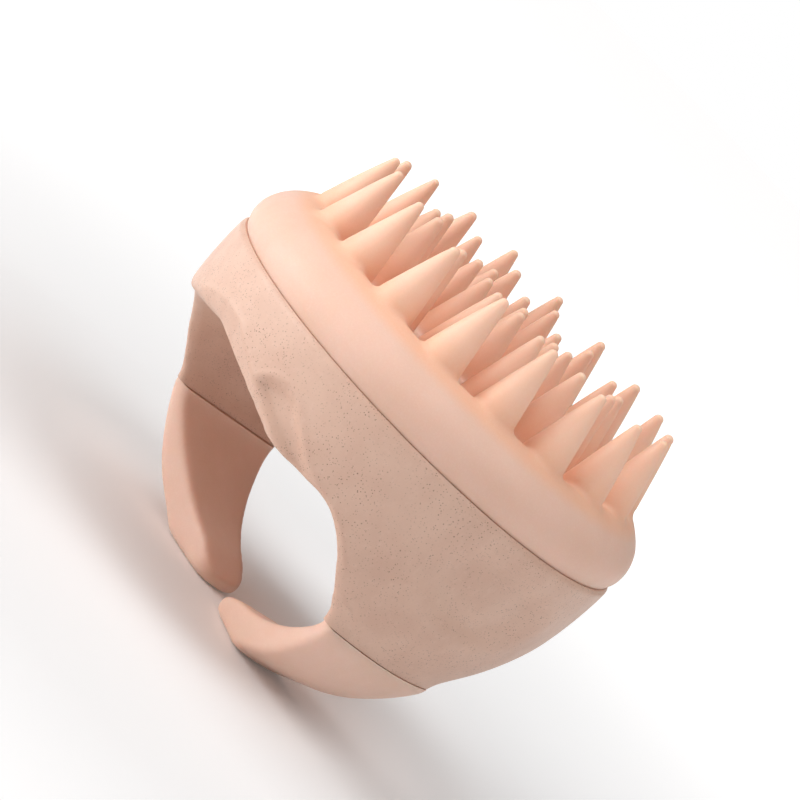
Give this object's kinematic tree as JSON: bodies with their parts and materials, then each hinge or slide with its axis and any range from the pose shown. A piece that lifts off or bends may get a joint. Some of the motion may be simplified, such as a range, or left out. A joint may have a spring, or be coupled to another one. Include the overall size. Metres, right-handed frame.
{
  "type": "scalp massager brush",
  "caption": "Round hand-held scalp massager brush: soft conical silicone bristles on a cup-shaped grip with two flexing arms that form a finger loop.",
  "frame": {"origin": "lowest point of the two arms, on the axis of the round pad", "axes": "+Z along the bristles, from the arms to the pad; Y along the finger tunnel; X from the left arm to the right arm"},
  "size_m": [0.086, 0.086, 0.0737],
  "materials": {
    "bristle_silicone": "matte blush-pink silicone, slightly translucent, soft to the touch",
    "wheat_straw_plastic": "matte blush plastic with fine dark straw specks",
    "grip_silicone": "smooth matte blush silicone without specks",
    "carrier_plastic": "plain matte plastic, inside the pad",
    "core_plastic": "plain flexible plastic, inside the grips"
  },
  "bodies": {
    "root": {"body_shell": "wheat_straw_plastic", "pad_carrier_plate": "carrier_plastic", "bristle_pad": "bristle_silicone", "outer_bristle_ring": "bristle_silicone", "middle_bristle_ring": "bristle_silicone", "inner_bristle_ring": "bristle_silicone"},
    "left_arm": {"left_grip_core": "core_plastic", "left_grip_sleeve": "grip_silicone"},
    "right_arm": {"right_grip_core": "core_plastic", "right_grip_sleeve": "grip_silicone"}
  },
  "joints": [
    {"name": "left_arm_flex", "type": "hinge", "parent": "root", "child": "left_arm", "pos_m": [-0.0374, 0, 0.0184], "axis": [0, 1, 0], "range_deg": [-2, 12], "stiffness_Nm_per_rad": 2},
    {"name": "right_arm_flex", "type": "hinge", "parent": "root", "child": "right_arm", "pos_m": [0.0374, 0, 0.0184], "axis": [0, -1, 0], "range_deg": [-2, 12], "stiffness_Nm_per_rad": 2}
  ]
}
